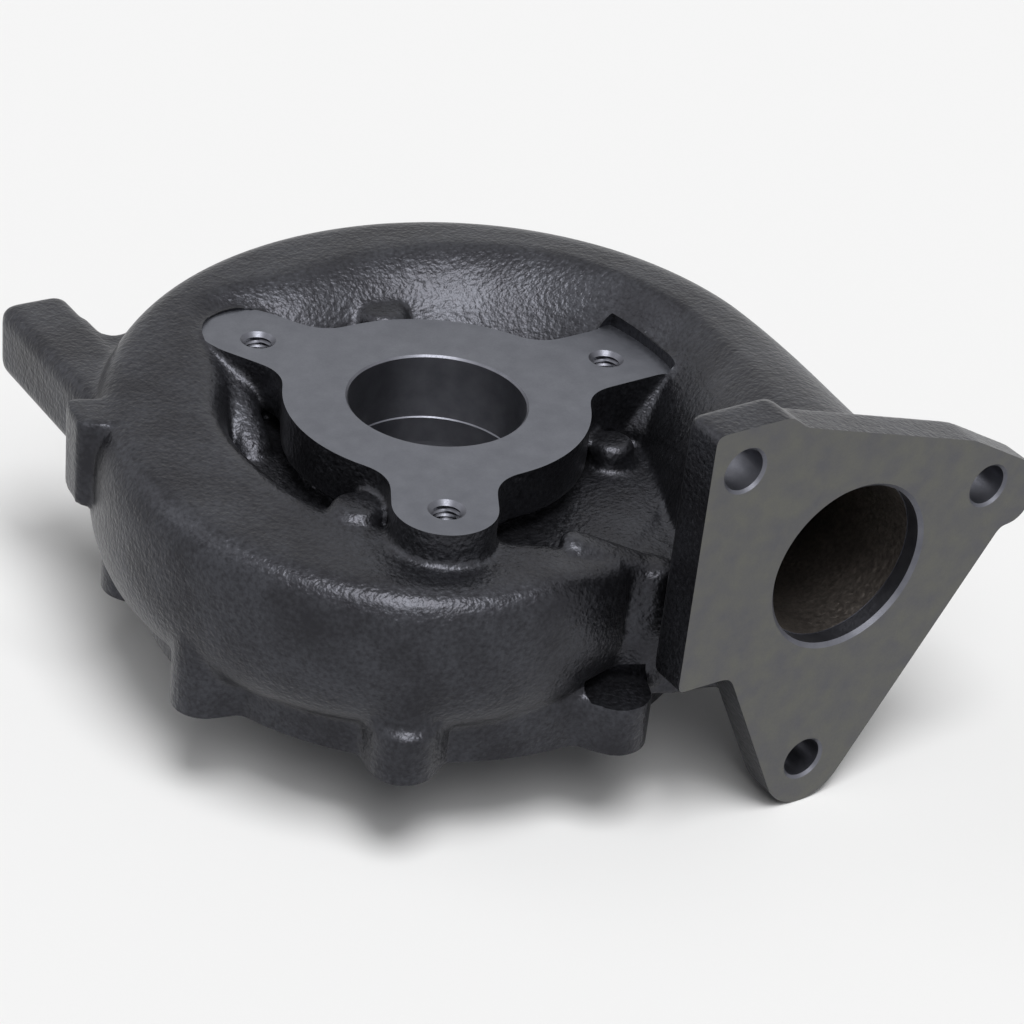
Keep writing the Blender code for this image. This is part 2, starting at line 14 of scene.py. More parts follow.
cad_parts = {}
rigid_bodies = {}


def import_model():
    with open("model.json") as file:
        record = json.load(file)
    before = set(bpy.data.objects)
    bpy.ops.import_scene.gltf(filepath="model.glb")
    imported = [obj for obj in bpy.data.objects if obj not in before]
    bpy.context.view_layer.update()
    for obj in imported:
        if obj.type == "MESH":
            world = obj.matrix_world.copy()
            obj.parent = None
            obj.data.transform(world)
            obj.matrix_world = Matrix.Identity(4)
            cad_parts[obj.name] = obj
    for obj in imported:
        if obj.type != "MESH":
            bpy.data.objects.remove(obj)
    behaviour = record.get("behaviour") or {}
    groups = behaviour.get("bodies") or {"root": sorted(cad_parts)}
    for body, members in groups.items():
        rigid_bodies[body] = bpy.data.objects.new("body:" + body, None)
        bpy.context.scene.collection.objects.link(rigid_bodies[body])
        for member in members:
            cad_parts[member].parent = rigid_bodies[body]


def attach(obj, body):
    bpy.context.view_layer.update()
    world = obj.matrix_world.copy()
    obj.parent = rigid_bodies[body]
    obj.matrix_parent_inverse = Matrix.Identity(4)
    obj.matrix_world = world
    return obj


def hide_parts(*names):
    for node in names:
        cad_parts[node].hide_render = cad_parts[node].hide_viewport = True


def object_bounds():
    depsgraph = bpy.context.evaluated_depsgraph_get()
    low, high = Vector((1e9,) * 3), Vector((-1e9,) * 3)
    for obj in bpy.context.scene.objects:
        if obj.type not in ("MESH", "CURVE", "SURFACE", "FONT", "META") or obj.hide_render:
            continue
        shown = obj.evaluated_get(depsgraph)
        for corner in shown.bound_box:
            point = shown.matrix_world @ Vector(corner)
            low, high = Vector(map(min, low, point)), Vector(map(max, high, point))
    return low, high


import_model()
cad_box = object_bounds()

# Scroll and inlet duct: the spiral gas channel of the housing, from the round inlet that runs along +Y
# and winds counter-clockwise round the turbine axis. It is one body of cast iron, poured in a sand
# mould, and its section gets smaller all the way to the tail.
MM = 0.001
INLET_REACH = 86.8
PORT_X = 62.7
PORT_Z = 43.7
DUCT_RADIUS = 28.7
SCROLL_RADIUS = 94.7
SCROLL_SHRINK = 0.071         # loss of outer radius for each degree
SCROLL_TOPS = (68.1, 48.3)    # height of the crest at the start and at the end
SCROLL_FALL = 256.0           # degrees over which the crest comes down
CROWN_WIDTHS = (18.2, 11.5)   # from the outermost point in to the crest, at the start and after the turn
CROWN_TURN = 120.0
SHOULDER_POWER = 3.4          # 2 is an ellipse, more is a squarer shoulder
FOOT_POWER = 5.0              # the same for the foot of its inner wall
UNDER_POWER = 2.3             # and for its underside
ELLIPSE = 2.0
BELLY = 32.0                  # height of the widest point
SCROLL_FLOOR = 9.0
INNER_SLOPE = (76.0, 0.11)    # where the slope to the valley starts, and its loss for each degree
SLOPE_POWERS = (1.3, 3.0)     # the slope is nearly straight at the start and rounder at the end
SLOPE_LEAST = 3.0             # the slope is at least this wide
CREST_LEAST = 0.5             # and the flat of the crest this wide
INNER_FEET = (41.0, 45.6)     # foot of the inner wall, at the start and at the end
STEEP_END = 45.0              # up to this angle the inner wall stands steeper, beside the duct
STEEP_FOOT = 13.0             # its foot stands further out by this
STEEP_TOP = 2.4               # and its top further in by this
DIP_ANGLE = 117.0             # behind the left lobe of the outlet flange the slope is drawn out
DIP_WIDTH = 16.0
DIP_REACH = 9.5
GROOVE_ANGLE = 152.0          # to the left of the neck the inner wall stands back from the spine
GROOVE_WIDTH = 24.0
GROOVE_REACH = 5.5
TAIL_START = 240.0            # from here the tail swings out and draws in
TAIL_SETTLED = 290.0
TAIL_END = 281.0
TAIL_SWING = 12.0             # how far the inner wall swings out at the tail
TAIL_SHRINK = 6.0
TAIL_CROWN = 3.5              # loss of the crest's distance from the outside
TAIL_DROP_START = 262.0       # from here the crest comes down to the web
TAIL_DROP = 3.0
DECK = 40.0                   # height of the valley's floor
ROOT = 4.0                    # how deep a form that stands on the floor goes into it
DUCT_START = 6.0              # the duct starts this far behind the inlet's face, inside the plate
DUCT_ROUND = 12.0             # and is round up to here
SECTION_STEPS = 16            # points on each quarter of a section
DUCT_RINGS = 16
RING_EVERY = 3.0              # degrees between two rings of the scroll


def smooth_step(value):
    value = min(max(value, 0.0), 1.0)
    return value * value * (3 - 2 * value)


def polar(radius, degrees):
    turn = math.radians(degrees)
    return radius * math.cos(turn), radius * math.sin(turn)


def quarter(centre, width, height, power, start, steps):
    """A quarter of a rounded oval, without its last point."""
    points = []
    for i in range(steps):
        turn = math.radians(start + 90 * i / steps)
        across = math.copysign(abs(math.cos(turn)) ** (2 / power), math.cos(turn))
        up = math.copysign(abs(math.sin(turn)) ** (2 / power), math.sin(turn))
        points.append((centre[0] + width * across, centre[1] + height * up))
    return points


def section(sizes, steps):
    """A closed section as (distance, height), from its outermost point over the top."""
    outer, crest, slope, inner, top, belly, shelf, bottom, powers = sizes
    return (
        quarter((crest, belly), outer - crest, top - belly, powers[0], 0, steps)
        + quarter((slope, shelf), slope - inner, top - shelf, powers[1], 90, steps)
        + quarter((slope, shelf), slope - inner, shelf - bottom, powers[2], 180, steps)
        + quarter((crest, belly), outer - crest, belly - bottom, powers[3], 270, steps)
    )


def steepness(wound):
    """1 beside the duct, 0 from STEEP_END on."""
    return 1 - smooth_step(wound / STEEP_END)


def scroll_sizes(wound):
    """Sizes of the outside of the scroll after so many degrees."""
    growth = smooth_step(wound / SCROLL_FALL)
    tail = smooth_step((wound - TAIL_START) / (TAIL_SETTLED - TAIL_START))
    dip = math.exp(-((wound - DIP_ANGLE) / DIP_WIDTH) ** 2)
    outer = SCROLL_RADIUS - SCROLL_SHRINK * wound - TAIL_SHRINK * tail
    fall = 0.5 * (1 + math.cos(math.pi * min(wound / SCROLL_FALL, 1)))
    top = SCROLL_TOPS[1] + (SCROLL_TOPS[0] - SCROLL_TOPS[1]) * fall
    top -= TAIL_DROP * smooth_step((wound - TAIL_DROP_START) / (TAIL_END - TAIL_DROP_START))
    inner = INNER_FEET[0] + (INNER_FEET[1] - INNER_FEET[0]) * growth
    inner += TAIL_SWING * tail + STEEP_FOOT * steepness(wound)
    inner += GROOVE_REACH * math.exp(-((wound - GROOVE_ANGLE) / GROOVE_WIDTH) ** 2)
    crown = CROWN_WIDTHS[0] + (CROWN_WIDTHS[1] - CROWN_WIDTHS[0]) * smooth_step(wound / CROWN_TURN)
    crest = outer - crown + TAIL_CROWN * tail
    slope = INNER_SLOPE[0] - INNER_SLOPE[1] * wound - STEEP_TOP * steepness(wound) + DIP_REACH * dip
    slope = min(max(slope, inner + SLOPE_LEAST), crest - CREST_LEAST)
    power = SLOPE_POWERS[0] + (SLOPE_POWERS[1] - SLOPE_POWERS[0]) * growth * (1 - dip)
    powers = (SHOULDER_POWER, power, FOOT_POWER, UNDER_POWER)
    return [outer, crest, slope, inner, top, BELLY, DECK - ROOT, SCROLL_FLOOR, powers]


def swept(sizes_at, radius, front, end, steps, duct_steps, station):
    """Rings of a tube that runs straight in from its round mouth and then winds round the axis."""
    first = sizes_at(0)
    mouth = [PORT_X + radius, PORT_X, PORT_X, PORT_X - radius]
    mouth += [PORT_Z + radius, PORT_Z, PORT_Z, PORT_Z - radius]
    rings = []
    for i in range(duct_steps):
        y = front * (1 - i / duct_steps)
        share = smooth_step(-y / (INLET_REACH - DUCT_ROUND))
        sizes = [a + (b - a) * share for a, b in zip(first[:-1], mouth)]
        powers = [a + (ELLIPSE - a) * share for a in first[-1]]
        rings.append([(u, y, z) for u, z in section([*sizes, powers], steps)])
    stations = round(end / station)
    for i in range(stations + 1):
        wound = end * i / stations
        rings.append([(*polar(u, wound), z) for u, z in section(sizes_at(wound), steps)])
    return rings


def loft(name, rings):
    """A closed skin over rings that match point to point, with flat ends."""
    bm = bmesh.new()
    rows = [[bm.verts.new([c * MM for c in point]) for point in ring] for ring in rings]
    count = len(rows[0])
    for low, high in zip(rows, rows[1:]):
        for i in range(count):
            j = (i + 1) % count
            bm.faces.new((low[i], low[j], high[j], high[i]))
    bm.faces.new(rows[0])
    bm.faces.new(rows[-1])
    bmesh.ops.recalc_face_normals(bm, faces=bm.faces)
    mesh = bpy.data.meshes.new(name)
    bm.to_mesh(mesh)
    bm.free()
    return mesh


rough = [loft("scroll", swept(
    scroll_sizes, DUCT_RADIUS, DUCT_START - INLET_REACH, TAIL_END, SECTION_STEPS, DUCT_RINGS, RING_EVERY))]

# Base rim with its eight screw bosses: the ring that the centre housing bolts up against. It is cast
# with the scroll, with 3 mm of stock on its underside for the lathe.
STOCK = 3.0
RIM_RADIUS = 70.4
RIM_HEIGHT = 12.0
BOSS_REACH = 80.3
BOSS_RADIUS = 8.2
BOSS_FOOT = 13.0              # half width where a boss grows out of the rim
BOSS_ROOT = 6.0               # how deep it goes into the rim
BOSS_ROUND = 68               # half of the angle of its round tip, in degrees
SPOT_FACED = 279.0            # this boss has a spot face cut into its top
SPOT_FACE_HEIGHT = 13.0
# Angle of each boss, and the height at which the scroll's wall takes it in
BOSSES = (
    (152.0, 30.0), (194.0, 30.0), (236.0, 30.0), (SPOT_FACED, 14.0),
    (325.6, 20.0), (12.2, 24.0), (58.8, 26.0), (105.4, 28.0),
)
NOTCHED = 236.0               # this boss is set back above a narrow ledge
NOTCH = 2.6
LAP = 2.0                     # how far one form runs into the next
RIM_SIDES = 160


def arc(centre, radius, start, end, steps):
    turns = [math.radians(start + (end - start) * i / steps) for i in range(steps + 1)]
    return [(centre[0] + radius * math.cos(t), centre[1] + radius * math.sin(t)) for t in turns]


def circle(centre, radius, sides):
    return arc(centre, radius, 0, 360, sides)[:-1]


def upright(name, levels):
    """A solid from (outline, height) levels, from the bottom up."""
    return loft(name, [[(x, y, height) for x, y in outline] for outline, height in levels])


def turned_by(points, angle):
    turn = math.radians(angle)
    cosine, sine = math.cos(turn), math.sin(turn)
    return [(x * cosine - y * sine, x * sine + y * cosine) for x, y in points]


def boss_outline(angle, reach):
    root = RIM_RADIUS - BOSS_ROOT
    tip = arc((reach - BOSS_RADIUS, 0), BOSS_RADIUS, -BOSS_ROUND, BOSS_ROUND, 16)
    return turned_by([(root, -BOSS_FOOT), *tip, (root, BOSS_FOOT)], angle)


ring = circle((0, 0), RIM_RADIUS, RIM_SIDES)
rough.append(upright("rim", [(ring, -STOCK), (ring, RIM_HEIGHT)]))
for angle, top in BOSSES:
    foot = boss_outline(angle, BOSS_REACH)
    ledge = SPOT_FACE_HEIGHT if angle == NOTCHED else top
    rough.append(upright("boss", [(foot, -STOCK), (foot, ledge)]))
    if ledge < top:
        column = boss_outline(angle, BOSS_REACH - NOTCH)
        rough.append(upright("column", [(column, ledge - LAP), (column, top)]))

# Valley floor, web and ridge: the wall that closes the casting between the neck and the scroll, and
# the web that ties the scroll's tail to the inlet duct. The tail runs out over it into a round ridge
# that goes down the web's front corner.
DECK_RADIUS = 57.6
DECK_SIDES = 120
DECK_BOTTOM = 8.0
WEB_BOTTOM = 6.0
WEB_STEP = 0.6                # the web lies this far below the floor
WEB_CORNERS = (
    (10.0, -20.0, 2.0), (-24.0, -44.0, 4.0), (-14.0, -55.5, 5.0), (5.0, -61.5, 8.0), (15.0, -64.5, 5.0),
    (29.0, -71.0, 5.0), (48.0, -74.0, 2.0),
    (62.0, -40.0, 2.0), (55.0, -4.0, 8.0), (30.0, 4.0, 4.0),
)
RIDGE = (22.8, -64.4)
RIDGE_RADIUS = 5.6
RIDGE_TOP = 42.5
TAIL_ENDS = ((7.0, -56.0, 48.2), (21.5, -63.0, 42.4))  # x, y and height of the tail's run-out
TAIL_RADII = (7.2, 5.6)       # at its foot and at its back
TAIL_FOOT = 10.0
ROUND_BACK = ((1.0, 0.6), (0.92, 0.3), (0.7, 0.1), (0.35, 0.0))  # share of the radius, and its drop
END_STEPS = 16                # steps round the end of a long rib
BOSS_SIDES = 40


def long_oval(ends, radius, level=None, drop=0.0):
    """A ring round two (x, y, height) ends, at one level or sloping with them and so far below."""
    (x, y, height), (end_x, end_y, end_height) = ends
    ahead = math.atan2(end_y - y, end_x - x)
    side = math.degrees(ahead) + 90
    length = math.hypot(end_x - x, end_y - y)
    outline = arc((x, y), radius, side, side + 180, END_STEPS)
    outline += arc((end_x, end_y), radius, side - 180, side, END_STEPS)
    ring = []
    for u, v in outline:
        share = ((u - x) * math.cos(ahead) + (v - y) * math.sin(ahead)) / length
        ring.append((u, v, height + (end_height - height) * share - drop if level is None else level))
    return ring


def long_ridge(name, ends, radii, foot):
    """A long rib with a round back."""
    low, high = radii
    back = [long_oval(ends, high * share, drop=high * down) for share, down in ROUND_BACK]
    return loft(name, [long_oval(ends, low, foot), *back])


def domed(name, centre, radius, low, top):
    """A round boss with a rounded top."""
    levels = [(circle(centre, radius * share, BOSS_SIDES), top - radius * down) for share, down in ROUND_BACK]
    return upright(name, [(circle(centre, radius, BOSS_SIDES), low), *levels])


def rounded(corners, steps=10):
    """An outline through (x, y, radius) corners, each rounded to its radius."""
    points = []
    for i, (x, y, radius) in enumerate(corners):
        before, after = corners[i - 1], corners[(i + 1) % len(corners)]
        ways = []
        for other in (before, after):
            far = math.hypot(other[0] - x, other[1] - y)
            ways.append(((other[0] - x) / far, (other[1] - y) / far))
        half = math.acos(ways[0][0] * ways[1][0] + ways[0][1] * ways[1][1]) / 2
        middle = (ways[0][0] + ways[1][0], ways[0][1] + ways[1][1])
        scale = radius / math.sin(half) / math.hypot(*middle)
        centre = (x + middle[0] * scale, y + middle[1] * scale)
        back = radius / math.tan(half)
        start = math.atan2(y + ways[0][1] * back - centre[1], x + ways[0][0] * back - centre[0])
        stop = math.atan2(y + ways[1][1] * back - centre[1], x + ways[1][0] * back - centre[0])
        sweep = (stop - start + math.pi) % (2 * math.pi) - math.pi
        points += arc(centre, radius, math.degrees(start), math.degrees(start + sweep), steps)
    return points


deck = circle((0, 0), DECK_RADIUS, DECK_SIDES)
rough.append(upright("deck", [(deck, DECK_BOTTOM), (deck, DECK)]))
web = rounded(WEB_CORNERS)
rough.append(upright("web", [(web, WEB_BOTTOM), (web, DECK - WEB_STEP)]))
rough.append(domed("ridge", RIDGE, RIDGE_RADIUS, TAIL_FOOT, RIDGE_TOP))
rough.append(long_ridge("tail_end", TAIL_ENDS, TAIL_RADII, TAIL_FOOT))

# Outlet neck and flange: the collar round the turbine's exit and the three-lobed pad on it that the
# exhaust elbow bolts to. Each lobe has a cast pillar under it, and the pad has stock on its face.
OUTLET_HEIGHT = 57.2
OUTLET_THICKNESS = 13.0
WAIST = 37.8
BACK_WAIST = 41.2
LOBES = ((2.0, 75.0, 13.0), (119.2, 65.4, 11.9), (241.0, 61.8, 12.4))  # angle, reach, half width
LOBE_FILLET = 11.0
LOBE_LIMIT = 64.0             # the facing cutter stops here, against the scroll
NECK_RADIUS = 33.0
NECK_FLARE = 4.0
NECK_SIDES = 100
FLARE_LAP = 1.0               # the flare ends this far inside the pad
PILLAR_SET_BACK = 0.3         # a pillar's top is this much smaller than its lobe
PILLAR_DRAFTS = (3.0, 2.0, 2.0)  # how much wider each pillar gets down to its foot
PILLAR_ROOT = 5.0
PILLAR_SIDES = 60
# A cone fills the corner between the right lobe and the scroll: its centre, and (radius, height)
CORNER = (58.5, -9.0)
CORNER_LEVELS = ((8.5, 36.0), (8.5, 43.5), (6.0, 47.5), (3.2, 52.0), (1.0, 55.5))


def outlet_outline(grow=0.0):
    """Three round lobes joined by arcs round the bore, all of it grown outwards by the given amount."""
    fillet = LOBE_FILLET - grow
    points = []
    for index, (middle, reach, half_width) in enumerate(LOBES):
        waists = [(BACK_WAIST if index + side == 1 else WAIST) + grow for side in (0, 1)]
        half = half_width + grow
        bends = []
        for side, waist in zip((-1, 1), waists):
            lateral = half + fillet
            along = math.sqrt((waist + fillet) ** 2 - lateral ** 2)
            meet = math.degrees(math.atan2(lateral, along))
            bend = [(x, side * y) for x, y in arc((along, lateral), fillet, 180 + meet, 270, 12)]
            bends.append(bend if side < 0 else bend[::-1])
        tip = arc((reach - half_width, 0), half, -90, 90, 40)
        points += turned_by(bends[0] + tip + bends[1], middle)
        after = LOBES[(index + 1) % 3]
        first = middle + math.degrees(math.atan2(bends[1][-1][1], bends[1][-1][0]))
        swing = math.degrees(math.asin((after[2] + grow + fillet) / (waists[1] + fillet)))
        last = after[0] + (360 if index == 2 else 0) - swing
        points += arc((0, 0), waists[1], first, last, 16)[1:-1]
    limit = [min(1, LOBE_LIMIT / math.hypot(x, y)) if x > 0 else 1 for x, y in points]
    return [(x * share, y * share) for (x, y), share in zip(points, limit)]


pad = outlet_outline()
pad_floor = OUTLET_HEIGHT - OUTLET_THICKNESS
rough.append(upright("outlet_flange", [(pad, pad_floor), (pad, OUTLET_HEIGHT + STOCK)]))
collar = circle((0, 0), NECK_RADIUS, NECK_SIDES)
flare = circle((0, 0), NECK_RADIUS + NECK_FLARE, NECK_SIDES)
flare_top = pad_floor + FLARE_LAP
rough.append(upright("neck", [
    (collar, DECK - ROOT), (collar, flare_top - NECK_FLARE), (flare, flare_top), (flare, OUTLET_HEIGHT)]))
for (middle, reach, half_width), draft in zip(LOBES, PILLAR_DRAFTS):
    centre = polar(min(reach, LOBE_LIMIT) - half_width - PILLAR_SET_BACK, middle)
    radius = half_width - PILLAR_SET_BACK
    rough.append(upright("pillar", [
        (circle(centre, radius + draft, PILLAR_SIDES), DECK - PILLAR_ROOT),
        (circle(centre, radius, PILLAR_SIDES), pad_floor + LAP)]))
corner_levels = [(circle(CORNER, radius, BOSS_SIDES), height) for radius, height in CORNER_LEVELS]
rough.append(upright("corner", corner_levels))

# Inlet flange: the three-cornered plate in front of the duct, which bolts to the exhaust manifold. It
# is cast with stock on its face.
INLET_THICKNESS = 12.0
PLATE_ROUNDING = 2.2          # the cast edge at its back is rounded
PLATE_CENTRE = (68.0, 45.0)   # the back of that edge is drawn in towards this point
PLATE_BACK_SHARE = 0.965
INLET_CORNERS = (
    (16.5, 20.8, 0.8), (31.8, 20.8, 3.0), (59.4, -38.2, 12.0), (110.4, 43.0, 1.0),
    (118.0, 43.0, 6.5), (119.4, 58.0, 7.0), (96.0, 70.6, 24.0), (42.0, 86.6, 4.0),
    (37.5, 90.3, 4.0), (16.5, 90.0, 1.6),
)


def forward(name, levels):
    """A solid from (outline, y) levels, with outlines of (x, z) points."""
    return loft(name, [[(x, y, z) for x, z in outline] for outline, y in levels])


plate = rounded(INLET_CORNERS)
centre_x, centre_z = PLATE_CENTRE
plate_back = [
    (centre_x + (x - centre_x) * PLATE_BACK_SHARE, centre_z + (z - centre_z) * PLATE_BACK_SHARE)
    for x, z in plate]
rough.append(forward("inlet_flange", [
    (plate, -INLET_REACH - STOCK), (plate, -INLET_REACH + INLET_THICKNESS - PLATE_ROUNDING),
    (plate_back, -INLET_REACH + INLET_THICKNESS)]))

# Lug, its gusset and the small bosses: a bracket lug that stands off the back left of the scroll, a
# side boss in front of it, and in the valley low bosses and a spine. All of them are left as cast.
LUG_LOW = (-72.2, 40.0, 30.0)
LUG_HIGH = (-53.9, 98.4, 49.6)
LUG_ROUNDING = 3.6
LUG_ROUNDING_STEPS = 5
GUSSET_HEIGHTS = (32.0, 48.6)
GUSSET_CORNERS = (
    (-62.0, 50.0, 2.0), (-60.0, 84.5, 1.0), (-53.9, 84.5, 0.3), (-53.2, 72.6, 3.5), (-43.0, 75.6, 0.5),
    (-35.0, 60.0, 2.0),
)
SIDE_BOSS_CORNERS = ((-80.0, 42.0, 2.5), (-82.1, 28.5, 3.0), (-66.0, 22.0, 2.0), (-62.0, 34.0, 2.0))
SIDE_BOSS_HEIGHTS = (30.0, 53.5)
# Distance and angle, radius at the top, height, radius at the foot
VALLEY_BOSSES = (
    (44.9, 336.0, 5.8, 46.6, 6.6),
    (44.9, 215.0, 6.4, 51.5, 8.0),
    (49.3, 75.0, 6.4, 56.2, 9.5),
)
DOME = 1.8                    # the bosses are rounded over by this much
SPINE_ENDS = ((-36.0, 43.5, 56.0), (-38.5, 20.7, 44.2))  # x, y and height of its two ends
SPINE_RADII = (6.0, 4.6)      # at the foot and at the back

lug = bmesh.new()
lug_size = [(b - a) * MM for a, b in zip(LUG_LOW, LUG_HIGH)]
lug_middle = [(a + b) / 2 * MM for a, b in zip(LUG_LOW, LUG_HIGH)]
bmesh.ops.create_cube(lug, size=1, matrix=Matrix.Translation(lug_middle) @ Matrix.Diagonal((*lug_size, 1)))
bmesh.ops.bevel(
    lug, geom=list(lug.edges), offset=LUG_ROUNDING * MM, segments=LUG_ROUNDING_STEPS, profile=0.5,
    affect="EDGES")
lug_mesh = bpy.data.meshes.new("lug")
lug.to_mesh(lug_mesh)
lug.free()
rough.append(lug_mesh)
gusset = rounded(GUSSET_CORNERS)
rough.append(upright("gusset", [(gusset, height) for height in GUSSET_HEIGHTS]))
side_boss = rounded(SIDE_BOSS_CORNERS)
rough.append(upright("side_boss", [(side_boss, height) for height in SIDE_BOSS_HEIGHTS]))
rough.append(long_ridge("spine", SPINE_ENDS, SPINE_RADII, DECK - ROOT))
for distance, angle, radius, top, foot in VALLEY_BOSSES:
    centre = polar(distance, angle)
    levels = (
        (foot, DECK - ROOT), (radius, top - DOME), (radius - DOME / 3, top - DOME / 3), (radius - DOME, top))
    rough.append(upright("valley_boss", [(circle(centre, r, BOSS_SIDES), height) for r, height in levels]))

# Cast skin: sand-cast iron, shot-blasted to a near-black, finely grained surface. All of the rough
# forms run into each other with small cast fillets, which the remesh and its smoothing give.
SKIN_PITCH = 0.95             # voxels of the remesh
SKIN_SMOOTHING = 8
SKIN_TRIANGLES = 140000
IRON_DARK = "#2c2c30"
IRON_WORN = "#3f4045"
IRON_ROUGHNESS = (0.3, 0.42)
SKIN_METALLIC = 0.85          # a thin film of oxide lies over the iron
CLOUDS = 16.0                 # size of the darker and lighter clouds
SPECKS = 1.1                  # and of the worn specks in them
WEAR_RANGE = (0.15, 0.4)      # the wear at which the skin is fully dark and fully light
GRAIN = 1.0                   # size of the blasted grain, coarse enough to show in the render
GRAIN_DEPTH = 0.2
PITS = 1.9                    # size of the sand's pits
PITS_DEPTH = 0.14


def srgb(code):
    """A linear colour from its sRGB hex code."""
    channels = [int(code[i:i + 2], 16) / 255 for i in (1, 3, 5)]
    return (*[c / 12.92 if c <= 0.04045 else ((c + 0.055) / 1.055) ** 2.4 for c in channels], 1)


def new_material(name):
    material = bpy.data.materials.new(name)
    material.use_nodes = True
    return material


def add(material, kind, values=(), **settings):
    """Adds a node, sets its options and fills its sockets, each with a value or another node's output."""
    tree = material.node_tree
    node = tree.nodes.new(kind)
    for key, value in settings.items():
        setattr(node, key, value)
    for key, value in dict(values).items():
        if isinstance(value, bpy.types.NodeSocket):
            tree.links.new(value, node.inputs[key])
        else:
            node.inputs[key].default_value = value
    return node


def per_mm(size):
    """The scale of a texture whose detail is so many millimetres across."""
    return 1 / (size * MM)


def spread(material, source, low, high, start=0.3, stop=0.7):
    """Maps a texture's values from start and stop to low and high."""
    values = {"Value": source, "From Min": start, "From Max": stop, "To Min": low, "To Max": high}
    return add(material, "ShaderNodeMapRange", values).outputs["Result"]


def as_cast(name, dark, light):
    """Iron as it leaves the sand mould: clouded, with pits and a grain that break highlights into glints."""
    material = new_material(name)
    shader = material.node_tree.nodes["Principled BSDF"]
    links = material.node_tree.links
    place = add(material, "ShaderNodeTexCoord").outputs["Object"]
    clouds = add(material, "ShaderNodeTexNoise", {"Vector": place, "Scale": per_mm(CLOUDS), "Detail": 3.0})
    specks = add(material, "ShaderNodeTexNoise", {"Vector": place, "Scale": per_mm(SPECKS), "Detail": 4.0})
    grain = add(material, "ShaderNodeTexNoise", {"Vector": place, "Scale": per_mm(GRAIN), "Detail": 1.0})
    pits = add(material, "ShaderNodeTexVoronoi", {"Vector": place, "Scale": per_mm(PITS)},
               feature="SMOOTH_F1")
    worn = add(material, "ShaderNodeMath", {0: clouds.outputs["Fac"], 1: specks.outputs["Fac"]},
               operation="MULTIPLY")
    ramp = add(material, "ShaderNodeValToRGB", {
        "Fac": spread(material, worn.outputs[0], 0, 1, *WEAR_RANGE)})
    ramp.color_ramp.elements[0].color = srgb(dark)
    ramp.color_ramp.elements[1].color = srgb(light)
    links.new(ramp.outputs["Color"], shader.inputs["Base Color"])
    links.new(spread(material, specks.outputs["Fac"], *IRON_ROUGHNESS), shader.inputs["Roughness"])
    low = add(material, "ShaderNodeBump", {
        "Height": pits.outputs["Distance"], "Distance": PITS_DEPTH * MM, "Strength": 1.0})
    fine = add(material, "ShaderNodeBump", {
        "Height": grain.outputs["Fac"], "Distance": GRAIN_DEPTH * MM, "Strength": 1.0,
        "Normal": low.outputs["Normal"]})
    links.new(fine.outputs["Normal"], shader.inputs["Normal"])
    shader.inputs["Metallic"].default_value = SKIN_METALLIC
    return material


def evaluated(obj):
    """Applies the object's modifiers to its mesh."""
    bpy.context.view_layer.update()
    graph = bpy.context.evaluated_depsgraph_get()
    mesh = bpy.data.meshes.new_from_object(obj.evaluated_get(graph))
    obj.modifiers.clear()
    obj.data = mesh


def linked(name, mesh, collection):
    obj = bpy.data.objects.new(name, mesh)
    collection.objects.link(obj)
    return obj


together = bmesh.new()
for mesh in rough:
    together.from_mesh(mesh)
skin = bpy.data.meshes.new("housing")
together.to_mesh(skin)
together.free()
housing = linked("housing", skin, bpy.context.scene.collection)
remesh = housing.modifiers.new("skin", "REMESH")
remesh.mode = "VOXEL"
remesh.voxel_size = SKIN_PITCH * MM
fillets = housing.modifiers.new("fillets", "SMOOTH")
fillets.factor = 0.5
fillets.iterations = SKIN_SMOOTHING
evaluated(housing)
thinning = housing.modifiers.new("thinning", "DECIMATE")
thinning.ratio = min(1, SKIN_TRIANGLES / (2 * len(housing.data.polygons)))
evaluated(housing)
housing.data.materials.clear()
skin_iron = as_cast("as_cast_iron", IRON_DARK, IRON_WORN)
housing.data.materials.append(skin_iron)

# Machined faces: the outlet pad, the inlet plate and the base, milled or turned flat to bare grey
# iron. The cutters below take the stock off; the one for the pad stops short in the scroll's wall.
BARE_IRON = "#6b6d74"
BARE_IRON_DULL = "#62646b"
MILLED_IRON = "#646460"       # the inlet plate is a little warmer
MILLED_IRON_DULL = "#5c5c5f"
BARE_ROUGHNESS = (0.36, 0.48)
MOTTLE = 5.0                  # size of its soft mottling
FINE_GRAIN = 0.5              # and of the iron's own grain
FINE_GRAIN_DEPTH = 0.008
FACING_CLEARANCE = 0.8        # how far the facing cut runs past the pad's outline
FACING_TOP = 76.0
FLAT_NORMAL = 0.5             # faces of a cutter steeper than this leave the cast skin
TOOL_MARKS = 0.35             # pitch of the tool marks, drawn as coarse as they need to show
TOOL_MARKS_DEPTH = 0.002
WAVE_PERIOD = 0.314           # a wave texture repeats every 0.314 units at a scale of 1
SPOT_FACE_RADIUS = 8.8
SPOT_FACE_CUT = 4.2
SPOT_FACE_SIDES = 60
# Left, right, bottom and top of the block that faces the inlet plate, and how deep it is
INLET_FACING = (0, 130, -45, 100)
INLET_FACING_DEPTH = 10.0
BASE_FACING_DEPTH = 5.0
FACING_MARGIN = 1.0           # how far the base's facing cut runs past the bosses
FACING_SIDES = 120

cutters = bpy.data.collections.new("cutters")
bpy.context.scene.collection.children.link(cutters)


